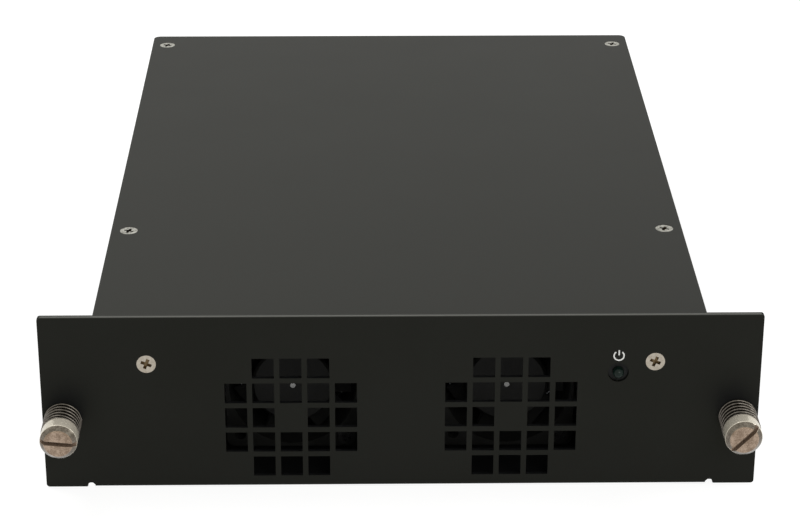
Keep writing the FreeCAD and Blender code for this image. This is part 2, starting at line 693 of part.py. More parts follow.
def fan(side_name, side):
    """Frame with its struts and bearing, stator, rotor with blades, and shaft."""
    place = {"across": f"{side} * fan_spacing / 2", "back": "fan_setback", "up": FAN_AXIS}
    shaft = "shaft_diameter / 2"
    bore = f"2 * ({shaft} + shaft_gap)"
    bearing = f"({bore} + 2 * bearing_wall)"
    base = "fan_thickness - fan_base"
    tube_front = f"({base} - bearing_length)"
    frame = new_body(f"{side_name}_fan_frame", **place)
    add(frame, FRONT, "0", "fan_thickness", outlines=[square("0", "0", "fan_size")])
    soften(frame, "Fillet", "fan_corner", edge_along("y", x=["fan_size / 2"], z=["fan_size / 2"]))
    # Between its two flanges the frame is a round duct
    cut(frame, FRONT, "fan_flange", "fan_thickness - 2 * fan_flange",
        outlines=[square("0", "0", "2 * fan_size")], circles=[("0", "0", "fan_bore + 2 * duct_wall")])
    corners = [(f"{x} * fan_hole_pitch / 2", f"{z} * fan_hole_pitch / 2") for x in SIDES for z in SIDES]
    cut(frame, FRONT, "0", "fan_thickness", circles=rounds(corners, "fan_hole") + [("0", "0", "fan_bore")])
    # Four struts hold the base of the motor, which carries the bearing tube
    reach = "(fan_size + fan_bore) / 4"
    for half_width, half_height in ((reach, "strut_width / 2"), ("strut_width / 2", reach)):
        add(frame, FRONT, base, "fan_base", outlines=[centred("0", "0", half_width, half_height)])
    add(frame, FRONT, base, "fan_base", circles=[("0", "0", "hub_diameter")])
    add(frame, FRONT, tube_front, "bearing_length", circles=[("0", "0", bearing)])
    cut(frame, FRONT, tube_front, "bearing_length", circles=[("0", "0", bore)])

    cup_inner = "(hub_diameter / 2 - hub_wall)"
    stator = new_body(f"{side_name}_fan_stator", **place)
    add(stator, FRONT, f"{tube_front} + stator_gap", "bearing_length - 2 * stator_gap", circles=[
        ("0", "0", f"2 * ({cup_inner} - stator_gap)"), ("0", "0", bearing)])

    rotor = new_body(f"{side_name}_fan_rotor", **place)
    hub = "hub_diameter / 2"
    cup_end = "(hub_recess + hub_length)"
    cap_back = "(hub_recess + hub_wall)"
    revolve(rotor, [
        (shaft, "hub_recess"), (f"{hub} - hub_chamfer", "hub_recess"), (hub, "hub_recess + hub_chamfer"),
        (hub, cup_end), (cup_inner, cup_end), (cup_inner, cap_back), (shaft, cap_back)])
    # One blade runs from inside the hub's wall to the tip, steeper there, and is repeated round the axis
    middle = "hub_recess + hub_length / 2"
    tip = "fan_bore / 2 - blade_tip_gap - blade_chord * blade_chord / (4 * fan_bore)"
    sections = []
    for radius, angle in ((f"{hub} - hub_wall / 2", "blade_root_angle"), (tip, "blade_tip_angle")):
        corners = []
        for along, through in ((-1, -1), (1, -1), (1, 1), (-1, 1)):
            chord = f"{along} * blade_chord / 2"
            thick = f"{through} * blade_thickness / 2"
            corners.append((f"{middle} + {chord} * cos({angle}) + {thick} * sin({angle})",
                            f"{chord} * sin({angle}) - {thick} * cos({angle})"))
        sections.append(draw(rotor, SIDE, radius, outlines=[corners]))
    blade = rotor.newObject("PartDesign::AdditiveLoft", "blade")
    blade.Profile = sections[0]
    blade.Sections = [sections[1]]
    blade.Ruled = True
    doc.recompute()
    blades = rotor.newObject("PartDesign::PolarPattern", "blades")
    blades.Originals = [blade]
    blades.Axis = (origin_feature(rotor, "Y_Axis"), [""])
    blades.Angle = 360
    blades.Occurrences = BLADE_COUNT
    rotor.Tip = blades

    pin = new_body(f"{side_name}_fan_shaft", **place)
    pin_front = "hub_recess - shaft_proud"
    add(pin, FRONT, pin_front, f"{base} - shaft_gap - ({pin_front})", circles=[("0", "0", "shaft_diameter")])


def fan_mounting():
    """Bracket behind the fans and its screws."""
    body = new_body("fan_bracket")
    foot_end = f"({BRACKET_BACK} + bracket_foot)"
    foot_top = "(2 * sheet_gauge)"
    top = f"({FAN_AXIS} + fan_size / 2)"
    add(body, SIDE, f"-{BRACKET_HALF}", f"2 * {BRACKET_HALF}", outlines=[[
        (FAN_REAR, "sheet_gauge"), (foot_end, "sheet_gauge"), (foot_end, foot_top), (BRACKET_BACK, foot_top),
        (BRACKET_BACK, top), (FAN_REAR, top)]])
    soften(body, "Fillet", OUTER_BEND, edge_along("x", y=[FAN_REAR], z=["sheet_gauge"]))
    soften(body, "Fillet", "bend_radius", edge_along("x", y=[BRACKET_BACK], z=[foot_top]))
    air = [(f"{side} * fan_spacing / 2", FAN_AXIS, "fan_bore") for side in SIDES]
    cut(body, FRONT, FAN_REAR, "2 * sheet_gauge", circles=air + rounds(FAN_SCREWS, SCREW_HOLE))
    cut(body, TOP, "sheet_gauge", "2 * sheet_gauge", circles=rounds(BRACKET_SCREWS, SCREW_HOLE))
    pan_head_screws(new_body("fan_screws"), FRONT, "fan_setback", FAN_SCREWS, "fan_screw_head",
                    "fan_screw_head_height", "fan_thickness + 3 * sheet_gauge")
    flat_head_screws("bracket_screws", TOP, "screw_sink", BRACKET_SCREWS)


def status_lamp():
    """Round-nosed lamp in a moulded holder."""
    place = {"across": LAMP_X, "up": LAMP_Z}
    lamp = "(lamp_diameter / 2 + holder_gap)"
    barrel = "(lamp_hole / 2 - holder_gap)"
    collar = "(lamp_hole / 2 + collar_rim)"
    collar_front = "(sheet_gauge + holder_gap)"
    collar_back = f"({collar_front} + collar_length)"
    revolve(new_body("led_holder", **place), [
        (lamp, "holder_recess"), (barrel, "holder_recess"), (barrel, collar_front), (collar, collar_front),
        (collar, collar_back), (barrel, collar_back), (barrel, "holder_length"), (lamp, "holder_length")])
    stem = doc.addObject("Part::Cylinder", "lamp_stem")
    nose = doc.addObject("Part::Sphere", "lamp_nose")
    bind(stem, Radius="lamp_diameter / 2", Height="lamp_length - lamp_diameter / 2")
    bind(nose, Radius="lamp_diameter / 2")
    whole = doc.addObject("Part::Fuse", "led_lamp")
    whole.Base = stem
    whole.Tool = nose
    whole.Label = "led_lamp"
    whole.Placement.Rotation = FreeCAD.Rotation(FreeCAD.Vector(1, 0, 0), -90)
    locate(whole, back="lamp_diameter / 2 - lamp_proud", **place)
    sub_parts.append(whole)


def board_assembly():
    """Circuit board on standoffs over an insulating sheet."""
    board = new_body("power_board")
    outline = rectangle(f"-{BOARD_HALF}", BOARD_FRONT, BOARD_HALF, BOARD_REAR)
    add(board, TOP, BOARD_UNDER, "board_thickness", outlines=[outline], circles=rounds(STANDOFFS, SCREW_HOLE))

    posts = new_body("board_standoffs")
    hexes = [polygon(x, y, "standoff_width / 2 / cos(30 deg)", 6) for x, y in STANDOFFS]
    add(posts, TOP, "sheet_gauge", "standoff_height", outlines=hexes)
    add(posts, TOP, "0", "sheet_gauge", circles=rounds(STANDOFFS, "standoff_stem"))
    cut(posts, TOP, "sheet_gauge", "standoff_height", circles=rounds(STANDOFFS, SCREW_HOLE))
    pan_head_screws(new_body("board_screws"), TOP, BOARD_TOP, STANDOFFS, "board_screw_head",
                    "board_screw_height", "board_thickness + standoff_height / 2", back=True)

    liner = new_body("insulating_sheet")
    inset = "insulator_inset"
    reach = f"({BOARD_HALF} - {inset})"
    outline = rectangle(f"-{reach}", f"{BOARD_FRONT} + {inset}", reach, f"{BOARD_REAR} - {inset}")
    clear = rounds(STANDOFFS, "standoff_width / cos(30 deg) + 2 * insulator_hole_gap")
    add(liner, TOP, "sheet_gauge", "insulator_thickness", outlines=[outline], circles=clear)


def heat_sink(label, side, device_label, device_count):
    """Finned extrusion on the board and the flat devices clamped to its web."""
    place = {"back": f"{BOARD_FRONT} + sink_start", "up": BOARD_TOP}
    sink = new_body(label, **place)
    web_in = f"{side} * sink_offset"
    web_out = f"{side} * (sink_offset + sink_web)"
    tip = f"{side} * (sink_offset + sink_web + fin_reach)"
    comb = []
    for number in range(FIN_COUNT):
        low = f"{number} * (sink_height - fin_thickness) / {FIN_COUNT - 1}"
        high = f"{low} + fin_thickness"
        comb += [(web_out, low), (tip, low), (tip, high), (web_out, high)]
    comb[0] = (web_in, "0")
    comb[-1] = (web_in, "sink_height")
    add(sink, FRONT, "0", "sink_length", outlines=[comb])

    devices = new_body(device_label, **place)
    cases = []
    for number in range(device_count):
        along = f"sink_length / 2 + {number - (device_count - 1) / 2} * device_pitch"
        cases.append(rectangle(f"{along} - device_width / 2", "device_lift",
                               f"{along} + device_width / 2", "device_lift + device_height"))
    add(devices, SIDE, web_in, "device_thickness", outlines=cases, back=side == "1")


def transformer():
    """Closed ferrite frame with the winding round its middle leg."""
    place = {"back": f"{BOARD_FRONT} + core_start + core_depth / 2", "up": BOARD_TOP}
    half = "core_width / 2"
    leg = "core_leg"
    top = f"core_height - {leg}"
    core = new_body("transformer_core", **place)
    window = rectangle(leg, leg, f"({half} - {leg})", top)
    frame = rectangle(f"-{half}", "0", half, "core_height")
    add(core, FRONT, "-core_depth / 2", "core_depth", outlines=[frame, window, mirrored(window)])

    winding = new_body("transformer_winding", **place)
    outer = centred("0", "0", f"({half} - {leg} - winding_gap)", "winding_depth / 2")
    inner = centred("0", "0", f"({leg} + winding_gap)", "(core_depth / 2 + winding_gap)")
    add(winding, TOP, f"{leg} + winding_gap", f"{top} - {leg} - 2 * winding_gap", outlines=[outer, inner])
    soften(winding, "Fillet", f"{leg} / 2", edge_along("z", y=["winding_depth / 2"]))


def chokes():
    """Wound rings of the line filter and of the output, flat on the board."""
    edge = f"({BOARD_MARGIN} - choke_outer / 2)"
    for label, side, start in (("line_filter_choke", "-1", "line_choke_start"),
                               ("output_choke", "1", "output_choke_start")):
        ring = new_body(label, across=f"{side} * {edge}", back=f"{BOARD_FRONT} + {start}", up=BOARD_TOP)
        add(ring, TOP, "0", "choke_height", outlines=[
            polygon("0", "0", "choke_outer / 2", 16), polygon("0", "0", "choke_inner / 2", 16)])


def capacitors():
    """Electrolytic cans and film blocks, upright on the board."""
    place = {"back": BOARD_FRONT, "up": BOARD_TOP}
    cans = new_body("input_capacitors", **place)
    middle = f"-({BOARD_MARGIN} - bulk_diameter / 2)"
    spots = [(middle, f"bulk_start + {number} * bulk_pitch") for number in range(BULK_CANS)]
    add(cans, TOP, "0", "bulk_height", circles=rounds(spots, "bulk_diameter"))
    soften(cans, "Chamfer", "bulk_rim", rim_at("bulk_height"))

    cans = new_body("output_capacitors", **place)
    middle = f"{BOARD_MARGIN} - output_can_diameter / 2"
    spots = [(middle, f"output_can_start + {number} * output_can_pitch") for number in range(OUTPUT_CANS)]
    add(cans, TOP, "0", "output_can_height", circles=rounds(spots, "output_can_diameter"))
    soften(cans, "Chamfer", "bulk_rim / 2", rim_at("output_can_height"))

    blocks = new_body("film_capacitors", **place)
    boxes = []
    for number in range(FILM_BLOCKS):
        front = f"film_start + {number} * film_pitch"
        back = f"{front} + film_thickness"
        boxes.append(rectangle("-sink_offset", front, "film_width - sink_offset", back))
    add(blocks, TOP, "0", "film_height", outlines=boxes)


def fuse_and_control():
    """Fuse in its two clips, and the upright control board."""
    place = {"across": f"-{BOARD_MARGIN}", "back": f"{BOARD_FRONT} + fuse_start", "up": BOARD_TOP}
    axis = "(clip_wall + fuse_diameter / 2)"
    fuse = new_body("fuse", **place)
    add(fuse, SIDE, "0", "fuse_length", circles=[("0", axis, "fuse_diameter")])

    clips = new_body("fuse_clips", **place)
    inner = "(fuse_diameter / 2)"
    outer = "(fuse_diameter / 2 + clip_wall)"
    cheek = [(outer, "0"), (outer, axis), (inner, axis), (inner, "clip_wall")]
    for level in ("0", "fuse_length - clip_width"):
        add(clips, SIDE, level, "clip_width", outlines=[cheek + mirrored(cheek)])

    place = {"across": BOARD_MARGIN, "back": f"{BOARD_FRONT} + control_start", "up": BOARD_TOP}
    control = new_body("control_board", **place)
    card = rectangle("-control_width", "0", "0", "control_height")
    add(control, FRONT, "0", "board_thickness", outlines=[card])


def input_terminals():
    """Barrier terminal block screwed to the rear wall."""
    place = {"across": BLOCK_X, "back": "case_depth", "up": "block_height"}
    half = "block_width / 2"
    rise = "block_tall / 2"
    flange = "block_flange_thickness"
    pitch = f"((block_width - barrier_wall) / {TERMINALS})"
    poles = [(f"({number} - {(TERMINALS - 1) / 2}) * {pitch}", "0") for number in range(TERMINALS)]
    ears = [(f"{side} * block_screw_pitch / 2", "0") for side in SIDES]
    block = new_body("input_terminal_block", **place)
    inside = "(sheet_gauge + block_inside)"
    add(block, FRONT, f"-{inside}", inside, outlines=[centred("0", "0", half, rise)])
    add(block, FRONT, "0", flange, outlines=[
        centred("0", "0", f"({half} + block_flange)", f"({rise} + barrier_wall)")])
    walls = [centred(f"({number} - {TERMINALS / 2}) * {pitch}", "0", "barrier_wall / 2", rise)
             for number in range(TERMINALS + 1)]
    add(block, FRONT, flange, f"rear_reach - {flange}", outlines=walls)
    cut(block, FRONT, "0", flange, circles=rounds(ears + poles, SCREW_HOLE))

    plates = new_body("terminal_plates", **place)
    plate_half = f"(({pitch} - barrier_wall) / 2 - plate_side_gap)"
    brass = [centred(across, up, plate_half, rise) for across, up in poles]
    add(plates, FRONT, flange, "plate_thickness", outlines=brass, circles=rounds(poles, SCREW_HOLE))

    seat = f"({flange} + plate_thickness)"
    pan_head_screws(new_body("terminal_screws", **place), FRONT, seat, poles, "terminal_head",
                    "terminal_head_height", seat, back=True)
    pan_head_screws(new_body("block_screws", **place), FRONT, flange, ears, "board_screw_head",
                    "board_screw_height", f"{flange} + 2 * sheet_gauge", back=True)


def output_socket():
    """Shrouded pin connector on the board, through the rear wall."""
    place = {"across": CONNECTOR_X, "back": "case_depth + connector_proud",
             "up": f"{BOARD_TOP} + connector_tall / 2"}
    half = "connector_width / 2"
    rise = "connector_tall / 2"
    length = "(connector_proud + connector_inside)"
    shroud = new_body("output_connector", **place)
    add(shroud, FRONT, f"-{length}", length, outlines=[centred("0", "0", half, rise)])
    socket = centred("0", "0", f"({half} - connector_wall)", f"({rise} - connector_wall)")
    cut(shroud, FRONT, "-socket_depth", "socket_depth", outlines=[socket])

    pins = new_body("output_pins", **place)
    span = f"{PIN_COLUMNS - 1} * pin_pitch"
    column = [square(f"-{span} / 2", f"{side} * pin_pitch / 2", "pin_width") for side in SIDES]
    pair = add(pins, FRONT, "-socket_depth", "pin_length", outlines=column)
    repeat(pins, pair, span, PIN_COLUMNS)


chassis_tray()
top_cover()
case_screws()
for name, sign in FAN_SIDES.items():
    captive_screw(name, sign)
    fan(name, sign)
fan_mounting()
status_lamp()
board_assembly()
heat_sink("primary_heatsink", "-1", "primary_transistors", 3)
heat_sink("secondary_heatsink", "1", "rectifiers", 2)
transformer()
chokes()
capacitors()
fuse_and_control()
input_terminals()
output_socket()
doc.recompute()

for thing in doc.Objects:
    if "Invalid" in thing.State or "Error" in thing.State:
        raise RuntimeError(f"{thing.Name} of {thing.getParentGeoFeatureGroup()} failed: {thing.State}")
    if thing.TypeId in ("PartDesign::Pocket", "PartDesign::Hole"):
        if thing.Shape.Volume > thing.BaseFeature.Shape.Volume - 1e-6:
            raise RuntimeError(f"{thing.Name} cuts nothing")
for part in sub_parts:
    if part.Shape.isNull() or not part.Shape.isValid():
        raise RuntimeError(f"{part.Label} has no valid shape")

os.makedirs("parts", exist_ok=True)
for part in sub_parts:
    part.Shape.exportStep(f"parts/{part.Label}.step")
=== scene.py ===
import bmesh
import bpy
import math
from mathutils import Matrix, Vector


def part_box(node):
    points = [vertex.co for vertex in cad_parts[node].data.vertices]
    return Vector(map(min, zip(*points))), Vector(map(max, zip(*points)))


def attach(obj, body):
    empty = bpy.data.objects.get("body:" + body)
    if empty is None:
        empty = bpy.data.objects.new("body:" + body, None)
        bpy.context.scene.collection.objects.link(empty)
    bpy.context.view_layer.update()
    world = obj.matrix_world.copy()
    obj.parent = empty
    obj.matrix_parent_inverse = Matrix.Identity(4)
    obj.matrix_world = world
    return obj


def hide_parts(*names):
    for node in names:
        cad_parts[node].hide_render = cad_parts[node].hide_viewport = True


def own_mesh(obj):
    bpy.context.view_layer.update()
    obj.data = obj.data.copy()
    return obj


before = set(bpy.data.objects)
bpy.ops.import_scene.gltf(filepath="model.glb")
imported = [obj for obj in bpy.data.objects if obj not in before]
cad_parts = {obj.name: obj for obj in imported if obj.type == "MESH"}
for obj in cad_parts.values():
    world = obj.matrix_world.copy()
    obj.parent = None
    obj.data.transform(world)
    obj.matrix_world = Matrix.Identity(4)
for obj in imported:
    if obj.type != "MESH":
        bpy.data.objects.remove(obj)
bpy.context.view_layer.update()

scene = bpy.context.scene
scene.view_settings.view_transform = "Standard"


# Camera
# A still camera on a tripod, square to the front panel and well above it. Its long lens lets the
# sides of the case run back with little perspective.
camera_data = bpy.data.cameras.new("camera")
camera_data.sensor_width = 36.0
camera_data.lens = 111.71
camera = bpy.data.objects.new("camera", camera_data)
camera.location = (-0.0114, -0.7739, 0.3617)
camera.rotation_euler = [math.radians(angle) for angle in (65.692, -0.132, -0.9225)]
scene.collection.objects.link(camera)
scene.camera = camera


# Table and light
# A white table that runs out of the view, in a warm white room. A softbox hangs above the module,
# a second one stands behind the camera on the right, and a small lamp at the right adds glints.
def place(tree, kind, settings=None, values=(), **inputs):
    """Add a node, set its options, and fill its inputs in order or by name."""
    made = tree.nodes.new(kind)
    for option, value in (settings or {}).items():
        setattr(made, option, value)
    filled = list(zip(made.inputs, values))
    filled += [(made.inputs[title.replace("_", " ")], value) for title, value in inputs.items()]
    for socket, value in filled:
        if isinstance(value, bpy.types.NodeSocket):
            tree.links.new(value, socket)
        else:
            socket.default_value = value
    return made


def worked(tree, operation, first, second):
    """Result of a sum or a comparison of two numbers."""
    return place(tree, "ShaderNodeMath", {"operation": operation}, (first, second)).outputs[0]


def by_ray(tree, scattered, seen):
    """Value for scattered light, and for what the camera, polished metal and clear pieces see."""
    rays = place(tree, "ShaderNodeLightPath").outputs
    mirrored = worked(tree, "MAXIMUM", rays["Is Glossy Ray"], rays["Is Transmission Ray"])
    straight = worked(tree, "MAXIMUM", rays["Is Camera Ray"], mirrored)
    chosen = place(tree, "ShaderNodeMapRange", Value=straight, To_Min=scattered, To_Max=seen)
    return chosen.outputs["Result"]


room = bpy.data.worlds.new("white_room")
room.use_nodes = True
room_light = room.node_tree.nodes["Background"].inputs
room_light["Color"].default_value = (1.0, 1.0, 0.95, 1.0)
room_strength = by_ray(room.node_tree, scattered=0.4, seen=1.0)
room.node_tree.links.new(room_strength, room_light["Strength"])
scene.world = room

TABLE_HALF = 6.0
TABLE_TOP = -0.0002
table_corners = [(x * TABLE_HALF, y * TABLE_HALF, TABLE_TOP)
                 for x, y in ((-1, -1), (1, -1), (1, 1), (-1, 1))]
table_mesh = bpy.data.meshes.new("table")
table_mesh.from_pydata(table_corners, [], [(0, 1, 2, 3)])
table = bpy.data.objects.new("table", table_mesh)
scene.collection.objects.link(table)
table_white = bpy.data.materials.new("table_white")
table_white.use_nodes = True
table_tree = table_white.node_tree
table_tree.nodes.remove(table_tree.nodes["Principled BSDF"])
diffuse = place(table_tree, "ShaderNodeBsdfDiffuse", Color=(0.80, 0.80, 0.80, 1.0))
glow = place(table_tree, "ShaderNodeEmission", Color=(1.0, 1.0, 1.0, 1.0), Strength=1.42)
glow_share = by_ray(table_tree, scattered=0.0, seen=0.60)
table_top = place(table_tree, "ShaderNodeMixShader",
                  values=(glow_share, diffuse.outputs[0], glow.outputs[0]))
from_below = place(table_tree, "ShaderNodeNewGeometry").outputs["Backfacing"]
see_through = place(table_tree, "ShaderNodeBsdfTransparent")
both_sides = place(table_tree, "ShaderNodeMixShader",
                   values=(from_below, table_top.outputs[0], see_through.outputs[0]))
table_tree.links.new(both_sides.outputs[0], table_tree.nodes["Material Output"].inputs["Surface"])
table_mesh.materials.append(table_white)


def area_lamp(name, at, width, depth, watts):
    """Rectangular lamp that faces the module."""
    light = bpy.data.lights.new(name, "AREA")
    light.shape = "RECTANGLE"
    light.size = width
    light.size_y = depth
    light.energy = watts
    lamp = bpy.data.objects.new(name, light)
    lamp.location = at
    lamp.rotation_euler = (-lamp.location).to_track_quat("-Z", "Y").to_euler()
    scene.collection.objects.link(lamp)


area_lamp("softbox", at=(-0.35, 0.32, 0.95), width=0.8, depth=0.6, watts=5.0)
area_lamp("front_softbox", at=(0.35, -0.95, 0.55), width=0.6, depth=0.5, watts=2.7)
area_lamp("glint_lamp", at=(0.95, -0.02, 0.50), width=0.3, depth=0.3, watts=2.2)


# Folded case
# The tray and the flat cover are cut from 1.4 mm steel sheet, folded, and powder-coated half-matt
# black. A lighter grey along the panel's top edge is a painted highlight where the rounded edge
# catches light.
def new_group(name, kind, inputs, outputs):
    """Empty node group whose sockets are given as names with their types."""
    tree = bpy.data.node_groups.new(name, kind)
    for in_out, sockets in (("INPUT", inputs), ("OUTPUT", outputs)):
        for title, socket_type in sockets.items():
            tree.interface.new_socket(title, in_out=in_out, socket_type=f"NodeSocket{socket_type}")
    return tree


NOISE_LOW, NOISE_HIGH = 0.3, 0.7
SPECKLE = 0.15


def grain_group():
    """Fine relief and slow change of tone, as on coated, moulded and plated surfaces."""
    tree = new_group("grain", "ShaderNodeTree", {"Scale": "Float", "Patch Scale": "Float"},
                     {"Relief": "Float", "Tone": "Float"})
    given = tree.nodes.new("NodeGroupInput").outputs
    spot = place(tree, "ShaderNodeTexCoord").outputs["Object"]
    fine = place(tree, "ShaderNodeTexNoise", Vector=spot, Scale=given["Scale"],
                 Detail=2.0, Roughness=0.5).outputs["Fac"]
    patch = place(tree, "ShaderNodeTexNoise", Vector=spot, Scale=given["Patch Scale"],
                  Detail=4.0, Roughness=0.6).outputs["Fac"]
    speckle = place(tree, "ShaderNodeMapRange", Value=fine, From_Min=NOISE_LOW,
                    From_Max=NOISE_HIGH, To_Min=-SPECKLE, To_Max=SPECKLE).outputs["Result"]
    tone = place(tree, "ShaderNodeMath", {"operation": "ADD", "use_clamp": True}, (patch, speckle))
    place(tree, "NodeGroupOutput", Relief=fine, Tone=tone.outputs[0])
    return tree


GRAIN = grain_group()
TINT_ENDS = (0.35, 0.65)


def tinted(tree, mask, dark, light):
    """Colour that runs from dark to light with a mask."""
    ramp = place(tree, "ShaderNodeValToRGB", Fac=mask)
    for stop, position, colour in zip(ramp.color_ramp.elements, TINT_ENDS, (dark, light)):
        stop.position = position
        stop.color = (*colour, 1.0)
    return ramp.outputs["Color"]


def finish(name, dark, light, rough, scale, patch_scale=60.0, depth=0.00001, metallic=0.0,
           specular=0.5):
    """Material whose colour and roughness follow the grain's tone, with the grain's relief."""
    material = bpy.data.materials.new(name)
    material.use_nodes = True
    tree = material.node_tree
    grain = place(tree, "ShaderNodeGroup", {"node_tree": GRAIN}, Scale=scale,
                  Patch_Scale=patch_scale).outputs
    roughness = place(tree, "ShaderNodeMapRange", Value=grain["Tone"], From_Min=NOISE_LOW,
                      From_Max=NOISE_HIGH, To_Min=rough[0], To_Max=rough[1])
    bump = place(tree, "ShaderNodeBump", Strength=1.0, Distance=depth, Height=grain["Relief"])
    surface = tree.nodes["Principled BSDF"].inputs
    tree.links.new(tinted(tree, grain["Tone"], dark, light), surface["Base Color"])
    tree.links.new(roughness.outputs["Result"], surface["Roughness"])
    tree.links.new(bump.outputs["Normal"], surface["Normal"])
    surface["Metallic"].default_value = metallic
    surface["Specular IOR Level"].default_value = specular
    return material


def lay_over(material, mask, colour):
    """Lay a colour over a material's own colour where a mask is 1."""
    tree = material.node_tree
    base = tree.nodes["Principled BSDF"].inputs["Base Color"]
    mixed = place(tree, "ShaderNodeMixRGB", Fac=mask, Color1=base.links[0].from_socket,
                  Color2=colour)
    tree.links.new(mixed.outputs["Color"], base)


def measured(tree, operation, *vectors):
    """Result of an operation on vectors: a number for a length or a product, else a vector."""
    step = place(tree, "ShaderNodeVectorMath", {"operation": operation}, vectors)
    gives_number = operation in ("LENGTH", "DISTANCE", "DOT_PRODUCT")
    return step.outputs["Value" if gives_number else "Vector"]


SHARP_ANGLE = math.radians(40)
SHORTEST_EDGE = 0.003


def long_edges_group():
    """Mark the sharp edges of a mesh that are longer than a given length, for rounding."""
    tree = new_group("long_edges", "GeometryNodeTree", {"Geometry": "Geometry"},
                     {"Geometry": "Geometry"})
    given = tree.nodes.new("NodeGroupInput").outputs
    ends = place(tree, "GeometryNodeInputMeshEdgeVertices").outputs
    length = measured(tree, "DISTANCE", ends["Position 1"], ends["Position 2"])
    angle = place(tree, "GeometryNodeInputMeshEdgeAngle").outputs["Unsigned Angle"]
    over = {"operation": "GREATER_THAN"}
    sharp = place(tree, "FunctionNodeCompare", over, A=angle, B=SHARP_ANGLE)
    extended = place(tree, "FunctionNodeCompare", over, A=length, B=SHORTEST_EDGE)
    both = place(tree, "FunctionNodeBooleanMath", {"operation": "AND"},
                 (sharp.outputs[0], extended.outputs[0]))
    marked = place(tree, "GeometryNodeStoreNamedAttribute",
                   {"data_type": "FLOAT", "domain": "EDGE"}, Geometry=given["Geometry"],
                   Name="bevel_weight_edge", Value=both.outputs[0])
    place(tree, "NodeGroupOutput", Geometry=marked.outputs["Geometry"])
    return tree


LONG_EDGES = long_edges_group()
WELD_REACH = 0.000002
FLAT_ANGLE = math.radians(0.5)


def dress(names, material, edge=0.0, straight_only=False):
    """Give CAD nodes a material, and round all their sharp edges or only the straight ones."""
    for name in names:
        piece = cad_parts[name]
        piece.data.materials.clear()
        piece.data.materials.append(material)
        if not edge:
            continue
        weld = piece.modifiers.new("weld", "WELD")
        weld.merge_threshold = WELD_REACH
        flat = piece.modifiers.new("flat", "DECIMATE")
        flat.decimate_type = "DISSOLVE"
        flat.angle_limit = FLAT_ANGLE
        if straight_only:
            piece.modifiers.new("edges", "NODES").node_group = LONG_EDGES
        rounded = piece.modifiers.new("rounded", "BEVEL")
        rounded.width = edge
        rounded.segments = 2
        rounded.limit_method = "WEIGHT" if straight_only else "ANGLE"
        rounded.angle_limit = SHARP_ANGLE
        rounded.offset_type = "ABSOLUTE"
        rounded.use_clamp_overlap = straight_only
        shading = piece.modifiers.new("shading", "WEIGHTED_NORMAL")
        shading.weight = 100


powder_coat = finish("powder_coat", dark=(0.0088, 0.0090, 0.0100), light=(0.0106, 0.0108, 0.0118),
                     rough=(0.42, 0.45), scale=2600.0, patch_scale=25.0, depth=0.000010,
                     specular=0.115)
coat_tree = powder_coat.node_tree
coat_tint = coat_tree.nodes["Principled BSDF"].inputs["Specular Tint"]
coat_tint.default_value = (0.98, 1.0, 0.62, 1.0)

# Painted highlight: lighter grey along the front of the panel's top edge, where the rounded edge
# catches light.
EDGE_HIGHLIGHT_GREY = (0.115, 0.116, 0.110, 1.0)
HIGHLIGHT_LINE = 0.0003
HIGHLIGHT_REACH = (0.00018, 0.00034)
HIGHLIGHT_SECTION = (0.0, 0.6, 1.0)
tray_low, tray_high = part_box("chassis_tray")
top_edge = (0.0, tray_low.y + HIGHLIGHT_LINE, tray_high.z)
coat_spot = place(coat_tree, "ShaderNodeTexCoord").outputs["Object"]
from_edge = measured(coat_tree, "SUBTRACT", coat_spot, top_edge)
across_edge = measured(coat_tree, "MULTIPLY", from_edge, HIGHLIGHT_SECTION)
edge_highlight = place(coat_tree, "ShaderNodeMapRange", Value=measured(coat_tree, "LENGTH", across_edge),
            From_Min=HIGHLIGHT_REACH[0], From_Max=HIGHLIGHT_REACH[1], To_Min=1.0, To_Max=0.0)
lay_over(powder_coat, edge_highlight.outputs["Result"], EDGE_HIGHLIGHT_GREY)
dress(["chassis_tray", "top_cover"], powder_coat, edge=0.00015, straight_only=True)


# Plated screws
# Nickel-plated steel screws, sunk flush into the cover, the panel and the floor, and with raised
# heads on the board and the terminals. Shade is painted into the recesses that show, darker with
# depth.
# Painted shade: recesses get darker with depth below the head's face.
RECESS_SHADE = (0.120, 0.085, 0.046, 1.0)
RECESS_DEPTH = 0.0007
UNSHADED_SKIN = 0.00004
SCREW_EDGE = 0.00008


def sunken_group():
    """How deep a point lies below a face along a direction: 0 on the face, 1 at the reach."""
    tree = new_group("sunken", "ShaderNodeTree",
                     {"Direction": "Vector", "Face": "Float", "Reach": "Float"}, {"Depth": "Float"})
    given = tree.nodes.new("NodeGroupInput").outputs
    spot = place(tree, "ShaderNodeTexCoord").outputs["Object"]
    along = measured(tree, "DOT_PRODUCT", spot, given["Direction"])
    below = worked(tree, "SUBTRACT", along, given["Face"])
    depth = place(tree, "ShaderNodeMapRange", Value=below, From_Min=UNSHADED_SKIN,
                  From_Max=given["Reach"])
    place(tree, "NodeGroupOutput", Depth=depth.outputs["Result"])
    return tree


SUNKEN = sunken_group()


def paint_recess_shade(material, direction, face):
    """Paint shade into the recesses of a material below a face, darker with depth."""
    sunken = place(material.node_tree, "ShaderNodeGroup", {"node_tree": SUNKEN},
                   Direction=direction, Face=face, Reach=RECESS_DEPTH)
    lay_over(material, sunken.outputs["Depth"], RECESS_SHADE)


def nickel_plating(name, dark=(0.33, 0.293, 0.24), light=(0.42, 0.38, 0.32)):
    """Bright nickel on a pressed screw head."""
    return finish(name, dark, light, rough=(0.26, 0.40), scale=5000.0, patch_scale=900.0,
                  depth=0.000004, metallic=1.0)


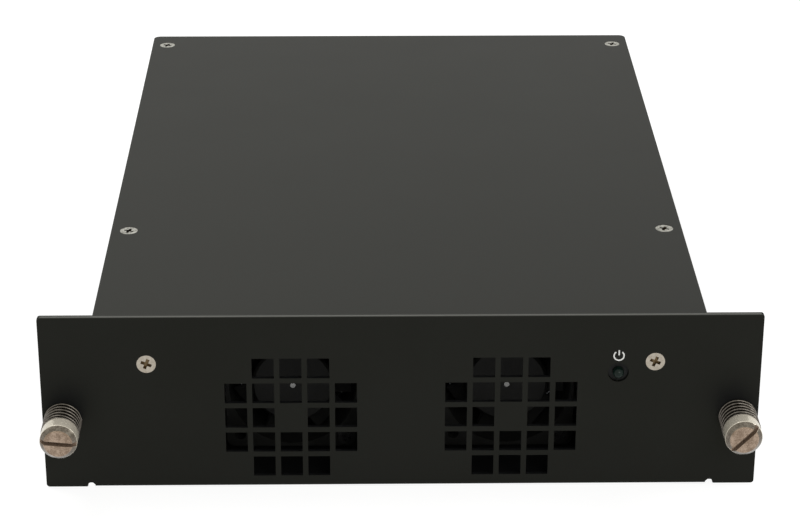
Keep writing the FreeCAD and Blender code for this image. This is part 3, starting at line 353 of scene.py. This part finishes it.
panel_nickel = nickel_plating("panel_nickel")
paint_recess_shade(panel_nickel, direction=(0.0, 1.0, 0.0), face=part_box("panel_screws")[0].y)
dress(["panel_screws"], panel_nickel, edge=SCREW_EDGE)
cover_nickel = nickel_plating("cover_nickel", dark=(0.20, 0.195, 0.178), light=(0.46, 0.45, 0.415))
paint_recess_shade(cover_nickel, direction=(0.0, 0.0, -1.0), face=-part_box("cover_screws")[1].z)
dress(["cover_screws"], cover_nickel, edge=SCREW_EDGE)
nickel = nickel_plating("nickel_plating")
dress(["bracket_screws", "board_screws", "terminal_screws", "block_screws"], nickel,
      edge=SCREW_EDGE)


# Captive screws
# Two shoulder screws turned from steel bar and nickel-plated, with a slot across a bevelled head
# that use has worn tan. A ring in a groove behind the panel keeps each one from falling out.
HEAD_BEVEL = 0.0015
BEVEL_DEPTH = 0.0017
CLEAN_RIM = 0.0012
SLOT_DEPTH = 0.0021
FACE_SKIN = 0.00005
SIDE_SKIN = 0.00012
LATHE_DEPTH = 0.00001
RING_SPREAD = 0.3
ACROSS_AXIS = (1.0, 0.0, 1.0)
DULL_METALLIC = 0.25
WORN_BROWN = (0.20, 0.145, 0.105)
WORN_TAN = (0.36, 0.275, 0.21)
# Painted sheen: the head's side is coloured cream to stand in for the light it reflects.
SIDE_SHEEN_CREAM = (0.74, 0.68, 0.57, 1.0)
# Painted shade: the slot is coloured dark brown where shade falls in it.
SLOT_SHADE = (0.26, 0.19, 0.14, 1.0)


def turned_group():
    """Rings left by the lathe about an axis along y, and masks for the head's parts."""
    sizes = ("Pitch Scale", "Front", "Slot Floor", "Side Radius", "Face Radius", "Bevel Slope",
             "Worn Radius")
    tree = new_group("turned", "ShaderNodeTree",
                     {"Centre": "Vector", **dict.fromkeys(sizes, "Float")},
                     dict.fromkeys(("Relief", "Side", "Face", "Slot"), "Float"))
    given = tree.nodes.new("NodeGroupInput").outputs
    spot = place(tree, "ShaderNodeTexCoord").outputs["Object"]
    away = measured(tree, "SUBTRACT", spot, given["Centre"])
    radius = measured(tree, "LENGTH", measured(tree, "MULTIPLY", away, ACROSS_AXIS))
    along = place(tree, "ShaderNodeSeparateXYZ", Vector=away).outputs["Y"]
    path = place(tree, "ShaderNodeCombineXYZ", X=worked(tree, "MULTIPLY", radius, RING_SPREAD),
                 Y=along)
    rings = place(tree, "ShaderNodeTexNoise", {"noise_dimensions": "2D"}, Vector=path.outputs[0],
                  Scale=given["Pitch Scale"], Detail=3.0)
    side = worked(tree, "GREATER_THAN", radius, given["Side Radius"])
    inside = worked(tree, "LESS_THAN", radius, given["Side Radius"])
    worn = worked(tree, "LESS_THAN", radius, given["Worn Radius"])
    shallow = worked(tree, "LESS_THAN", along, given["Slot Floor"])
    bevel = worked(tree, "MAXIMUM", worked(tree, "SUBTRACT", radius, given["Face Radius"]), 0.0)
    drop = worked(tree, "MULTIPLY", bevel, given["Bevel Slope"])
    skin = worked(tree, "ADD", drop, given["Front"])
    sunken = worked(tree, "MULTIPLY", worked(tree, "GREATER_THAN", along, skin), shallow)
    place(tree, "NodeGroupOutput", Relief=rings.outputs["Fac"], Side=side,
          Face=worked(tree, "MULTIPLY", worn, shallow),
          Slot=worked(tree, "MULTIPLY", sunken, inside))
    return tree


TURNED = turned_group()


def turned_nickel(name, low, high):
    """Nickel on a turned head that fills a box: mottled face, painted sheen on the cream side,
    painted shade in the slot and a painted dark reflection on the bevel.
    """
    # Painted reflection: the base nickel is dark, so the bevel shows a painted dark reflection.
    material = finish(name, dark=(0.11, 0.094, 0.075), light=(0.20, 0.176, 0.146),
                      rough=(0.20, 0.32), scale=1800.0, patch_scale=400.0, depth=0.000003,
                      metallic=1.0)
    tree = material.node_tree
    middle = (low + high) / 2
    face_y = low.y - middle.y
    radius = (high.x - low.x) / 2
    head = place(tree, "ShaderNodeGroup", {"node_tree": TURNED}, Centre=middle, Pitch_Scale=9000.0,
                 Front=face_y + FACE_SKIN, Slot_Floor=face_y + SLOT_DEPTH,
                 Side_Radius=radius - SIDE_SKIN, Face_Radius=radius - HEAD_BEVEL,
                 Bevel_Slope=BEVEL_DEPTH / HEAD_BEVEL, Worn_Radius=radius - CLEAN_RIM).outputs
    lathe = place(tree, "ShaderNodeBump", Strength=1.0, Distance=LATHE_DEPTH,
                  Height=head["Relief"])
    tree.links.new(lathe.outputs["Normal"], tree.nodes["Bump"].inputs["Normal"])
    wear = place(tree, "ShaderNodeGroup", {"node_tree": GRAIN}, Scale=2600.0, Patch_Scale=520.0)
    lay_over(material, head["Face"], tinted(tree, wear.outputs["Tone"], WORN_BROWN, WORN_TAN))
    lay_over(material, head["Side"], SIDE_SHEEN_CREAM)
    lay_over(material, head["Slot"], SLOT_SHADE)
    dull = worked(tree, "MAXIMUM", head["Side"], head["Slot"])
    bright = place(tree, "ShaderNodeMapRange", Value=dull, To_Min=1.0, To_Max=DULL_METALLIC)
    tree.links.new(bright.outputs["Result"], tree.nodes["Principled BSDF"].inputs["Metallic"])
    return material


for side in ("left", "right"):
    head_nickel = turned_nickel(f"{side}_turned_nickel", *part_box(f"{side}_captive_screw"))
    dress([f"{side}_captive_screw"], head_nickel, edge=0.0001)
drawn_steel = finish("drawn_steel", dark=(0.34, 0.31, 0.28), light=(0.48, 0.45, 0.41),
                     rough=(0.26, 0.40), scale=3000.0, patch_scale=700.0, depth=0.000004,
                     metallic=1.0)
dress(["left_retaining_ring", "right_retaining_ring"], drawn_steel)


# Captive springs
# Compression springs wound from 0.7 mm bright wire, six coils with closed and ground ends. Each
# sits between the screw's head and the panel and pushes the screw out of its thread.
WIRE = 0.0007
SPRING_OUTER = 0.0112
COILS = 6
CLOSED_TURNS = 0.5
STEPS_PER_TURN = 40
WIRE_SIDES = 12


def captive_spring(name, middle, head_y, panel_y):
    """Tube along a helix whose end coils lie closed, cut flat at the head and at the panel."""
    seat = WIRE / 8
    rise = panel_y - head_y - 2 * seat
    open_pitch = (rise - 2 * CLOSED_TURNS * WIRE) / (COILS - 2 * CLOSED_TURNS)
    mean = (SPRING_OUTER - WIRE) / 2
    points = []
    y = head_y + seat
    for step in range(COILS * STEPS_PER_TURN + 1):
        turn = step / STEPS_PER_TURN
        angle = 2 * math.pi * turn
        points.append(Vector((middle.x + mean * math.cos(angle), y,
                              middle.z + mean * math.sin(angle))))
        closed = turn < CLOSED_TURNS or turn >= COILS - CLOSED_TURNS
        y += (WIRE if closed else open_pitch) / STEPS_PER_TURN
    shape = bmesh.new()
    loops = []
    for point in points:
        outward = Vector((point.x - middle.x, 0, point.z - middle.z)).normalized()
        loop = []
        for side in range(WIRE_SIDES):
            angle = 2 * math.pi * side / WIRE_SIDES
            around = math.cos(angle) * outward + math.sin(angle) * Vector((0, 1, 0))
            corner = point + WIRE / 2 * around
            corner.y = min(max(corner.y, head_y), panel_y)
            loop.append(shape.verts.new(corner))
        loops.append(loop)
    for first, second in zip(loops, loops[1:]):
        for side in range(WIRE_SIDES):
            after = (side + 1) % WIRE_SIDES
            shape.faces.new((first[side], second[side], second[after], first[after]))
    shape.faces.new(loops[0])
    shape.faces.new(reversed(loops[-1]))
    bmesh.ops.recalc_face_normals(shape, faces=shape.faces)
    mesh = bpy.data.meshes.new(name)
    shape.to_mesh(mesh)
    shape.free()
    mesh.shade_smooth()
    spring = bpy.data.objects.new(name, mesh)
    scene.collection.objects.link(spring)
    return spring


# Painted shade: the wire's colour is darkened throughout, so only the lamps' highlights on it stay
# bright.
wound_wire_shaded = finish("wound_wire_shaded", dark=(0.085, 0.075, 0.064), light=(0.15, 0.135, 0.118),
                    rough=(0.16, 0.26), scale=4000.0, patch_scale=1200.0, depth=0.000004,
                    metallic=1.0)
for side in ("left", "right"):
    low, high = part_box(f"{side}_captive_spring")
    spring = captive_spring(f"{side}_wire_spring", (low + high) / 2, low.y, high.y)
    spring.data.materials.append(wound_wire_shaded)
    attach(spring, "case")
    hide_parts(f"{side}_captive_spring")
    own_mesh(spring)


# Status lamp
# A 3 mm lamp cast from dark green epoxy, pushed from behind into a black moulded holder. A power
# sign is printed in white ink on the panel above it.
lamp_green = finish("lamp_green", dark=(0.005, 0.013, 0.010), light=(0.008, 0.020, 0.015),
                    rough=(0.10, 0.16), scale=1500.0, depth=0.000002, specular=0.15)
dress(["led_lamp"], lamp_green)
moulded_black = finish("moulded_black", dark=(0.012, 0.0125, 0.012), light=(0.016, 0.0165, 0.016),
                       rough=(0.45, 0.58), scale=1800.0, specular=0.12)
dress(["led_holder"], moulded_black, edge=0.0001)

SIGN_ABOVE_LAMP = 0.0054
SIGN_RADIUS = 0.00145
SIGN_LINE = 0.0004
SIGN_GAP = math.radians(38)
ARC_STEPS = 48
BAR_FOOT, BAR_TOP = 0.1, 1.25
INK = 0.00002
lamp_low, lamp_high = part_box("led_lamp")
sign_x = (lamp_low.x + lamp_high.x) / 2
sign_z = (lamp_low.z + lamp_high.z) / 2 + SIGN_ABOVE_LAMP
sign_shape = bmesh.new()


def ink_corner(x, z):
    """Corner of the printed sign, from the sign's middle."""
    return sign_shape.verts.new((sign_x + x, tray_low.y - INK, sign_z + z))


arc = []
for step in range(ARC_STEPS + 1):
    angle = math.pi / 2 + SIGN_GAP + (2 * math.pi - 2 * SIGN_GAP) * step / ARC_STEPS
    arc.append([ink_corner(radius * math.cos(angle), radius * math.sin(angle))
                for radius in (SIGN_RADIUS - SIGN_LINE / 2, SIGN_RADIUS + SIGN_LINE / 2)])
for first, second in zip(arc, arc[1:]):
    sign_shape.faces.new((first[0], first[1], second[1], second[0]))
bar = ((-1, BAR_FOOT), (1, BAR_FOOT), (1, BAR_TOP), (-1, BAR_TOP))
sign_shape.faces.new([ink_corner(x * SIGN_LINE / 2, z * SIGN_RADIUS) for x, z in bar])
solid = bmesh.ops.extrude_face_region(sign_shape, geom=sign_shape.faces[:])
bmesh.ops.translate(sign_shape, vec=(0, INK, 0),
                    verts=[part for part in solid["geom"] if isinstance(part, bmesh.types.BMVert)])
bmesh.ops.recalc_face_normals(sign_shape, faces=sign_shape.faces)
sign_mesh = bpy.data.meshes.new("power_sign")
sign_shape.to_mesh(sign_mesh)
sign_shape.free()
power_sign = bpy.data.objects.new("power_sign", sign_mesh)
scene.collection.objects.link(power_sign)
white_ink = finish("white_ink", dark=(0.86, 0.86, 0.84), light=(0.94, 0.94, 0.92),
                   rough=(0.45, 0.60), scale=5000.0, depth=0.000004)
sign_mesh.materials.append(white_ink)
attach(power_sign, "case")


# Fans
# Two 40 mm fans moulded from black plastic, with seven blades on a hub that turns on a bright
# steel shaft. The stator's copper windings sit inside the hub.
fan_black = finish("fan_black", dark=(0.013, 0.013, 0.012), light=(0.019, 0.019, 0.018),
                   rough=(0.45, 0.58), scale=1400.0, specular=0.15)
dress(["left_fan_frame", "right_fan_frame", "left_fan_rotor", "right_fan_rotor"], fan_black,
      edge=0.0001)
ground_steel = finish("ground_steel", dark=(0.20, 0.20, 0.195), light=(0.28, 0.28, 0.275),
                      rough=(0.20, 0.34), scale=6000.0, patch_scale=1500.0, depth=0.000002,
                      metallic=1.0)
dress(["left_fan_shaft", "right_fan_shaft"], ground_steel)
copper = finish("enamelled_copper", dark=(0.30, 0.11, 0.04), light=(0.46, 0.20, 0.08),
                rough=(0.28, 0.40), scale=2600.0, patch_scale=500.0, depth=0.00002, metallic=0.8)
dress(["left_fan_stator", "right_fan_stator"], copper)
oxide = finish("black_oxide", dark=(0.008, 0.008, 0.008), light=(0.014, 0.014, 0.014),
               rough=(0.36, 0.50), scale=3000.0, depth=0.000005)
dress(["fan_screws"], oxide, edge=SCREW_EDGE)


# Fan bracket and standoffs
# The bracket is folded from zinc-plated sheet and screwed to the floor. The standoffs are turned
# from hexagon bar, plated alike and pressed into the floor.
zinc = finish("zinc_plating", dark=(0.40, 0.41, 0.43), light=(0.56, 0.57, 0.58),
              rough=(0.30, 0.46), scale=900.0, patch_scale=180.0, depth=0.000006, metallic=1.0)
dress(["fan_bracket"], zinc, edge=0.0001, straight_only=True)
dress(["board_standoffs"], zinc, edge=0.0001)


# Circuit boards
# Glass-filled laminate under green solder resist, over a dark insulating sheet on the floor.
# Square runs of copper show through the resist as lighter lines.
RUN_GREEN = (0.03, 0.16, 0.06, 1.0)
laminate = finish("board_laminate", dark=(0.010, 0.055, 0.022), light=(0.016, 0.080, 0.034),
                  rough=(0.28, 0.40), scale=1500.0, depth=0.000008)
board_spot = place(laminate.node_tree, "ShaderNodeTexCoord").outputs["Object"]
runs = place(laminate.node_tree, "ShaderNodeTexBrick", Vector=board_spot,
             Color1=(0.0, 0.0, 0.0, 1.0), Color2=(0.1, 0.1, 0.1, 1.0), Mortar=(1.0, 1.0, 1.0, 1.0),
             Scale=120.0, Mortar_Size=0.03, Brick_Width=0.9, Row_Height=0.4)
lay_over(laminate, runs.outputs["Color"], RUN_GREEN)
dress(["power_board", "control_board"], laminate, edge=0.0001)
film = finish("insulating_film", dark=(0.020, 0.020, 0.022), light=(0.032, 0.032, 0.035),
              rough=(0.30, 0.42), scale=700.0, depth=0.00002)
dress(["insulating_sheet"], film)


# Heat sinks and power devices
# Aluminium extrusions with four fins, left bright as they come from the die. The transistors and
# rectifiers are flat black epoxy cases clamped to the web.
extrusion = finish("extruded_aluminium", dark=(0.52, 0.53, 0.54), light=(0.66, 0.67, 0.68),
                   rough=(0.28, 0.42), scale=1200.0, patch_scale=90.0, depth=0.000006,
                   metallic=1.0)
dress(["primary_heatsink", "secondary_heatsink"], extrusion, edge=0.00015)
epoxy = finish("device_epoxy", dark=(0.012, 0.012, 0.013), light=(0.022, 0.022, 0.023),
               rough=(0.45, 0.60), scale=2600.0)
dress(["primary_transistors", "rectifiers"], epoxy, edge=0.0003)


# Transformer and chokes
# A dark sintered ferrite frame around a copper winding, and two rings wound with thick enamelled
# wire, all standing on the power board.
WAVE_LENGTH = 0.314  # of the wave texture at scale 1
TURN_HEIGHT = 0.25  # of the pitch


def wound_copper(name, direction, pitch):
    """Enamelled wire lying side by side, one turn per pitch."""
    material = finish(name, dark=(0.24, 0.085, 0.03), light=(0.46, 0.20, 0.08), rough=(0.25, 0.38),
                      scale=2000.0, patch_scale=300.0, metallic=0.8)
    tree = material.node_tree
    spot = place(tree, "ShaderNodeTexCoord").outputs["Object"]
    turns = place(tree, "ShaderNodeTexWave", {"bands_direction": direction}, Vector=spot,
                  Scale=WAVE_LENGTH / pitch)
    bump = place(tree, "ShaderNodeBump", Strength=1.0, Distance=TURN_HEIGHT * pitch,
                 Height=turns.outputs["Fac"])
    tree.links.new(bump.outputs["Normal"], tree.nodes["Principled BSDF"].inputs["Normal"])
    return material


ferrite = finish("sintered_ferrite", dark=(0.025, 0.025, 0.027), light=(0.045, 0.045, 0.047),
                 rough=(0.50, 0.66), scale=1600.0, depth=0.00002)
dress(["transformer_core"], ferrite, edge=0.0004)
dress(["transformer_winding"], wound_copper("winding_turns", "Z", pitch=0.0006))
dress(["line_filter_choke", "output_choke"], wound_copper("choke_turns", "DIAGONAL", pitch=0.0012),
      edge=0.0006)


# Capacitors and fuse
# Electrolytic cans in dark blue shrunk sleeves, film capacitors in yellow moulded boxes, and a
# white ceramic fuse in stamped brass clips.
sleeve = finish("shrunk_sleeve", dark=(0.010, 0.016, 0.050), light=(0.016, 0.024, 0.072),
                rough=(0.22, 0.32), scale=500.0)
dress(["input_capacitors", "output_capacitors"], sleeve, edge=0.0003)
film_box = finish("film_box", dark=(0.30, 0.20, 0.025), light=(0.38, 0.26, 0.04),
                  rough=(0.36, 0.50), scale=1500.0)
dress(["film_capacitors"], film_box, edge=0.0003)
ceramic = finish("fuse_ceramic", dark=(0.62, 0.60, 0.55), light=(0.74, 0.72, 0.67),
                 rough=(0.20, 0.32), scale=1500.0, depth=0.000005)
dress(["fuse"], ceramic, edge=0.0003)
brass = finish("stamped_brass", dark=(0.50, 0.35, 0.14), light=(0.64, 0.48, 0.22),
               rough=(0.24, 0.40), scale=1600.0, patch_scale=300.0, depth=0.000005, metallic=1.0)
dress(["fuse_clips"], brass)


# Input terminals
# A black moulded block with barriers between its three poles, screwed to the rear wall. Each pole
# is a brass plate under a nickel-plated screw.
block_black = finish("block_black", dark=(0.012, 0.012, 0.012), light=(0.022, 0.022, 0.021),
                     rough=(0.40, 0.54), scale=1300.0, depth=0.000015)
dress(["input_terminal_block"], block_black, edge=0.0003)
dress(["terminal_plates"], brass, edge=0.0001)


# Output connector
# A moulded shroud on the board that stands through the rear wall, with two rows of brass pins for
# the socket of the rack's backplane.
dress(["output_connector"], block_black, edge=0.0002)
dress(["output_pins"], brass, edge=0.0001)
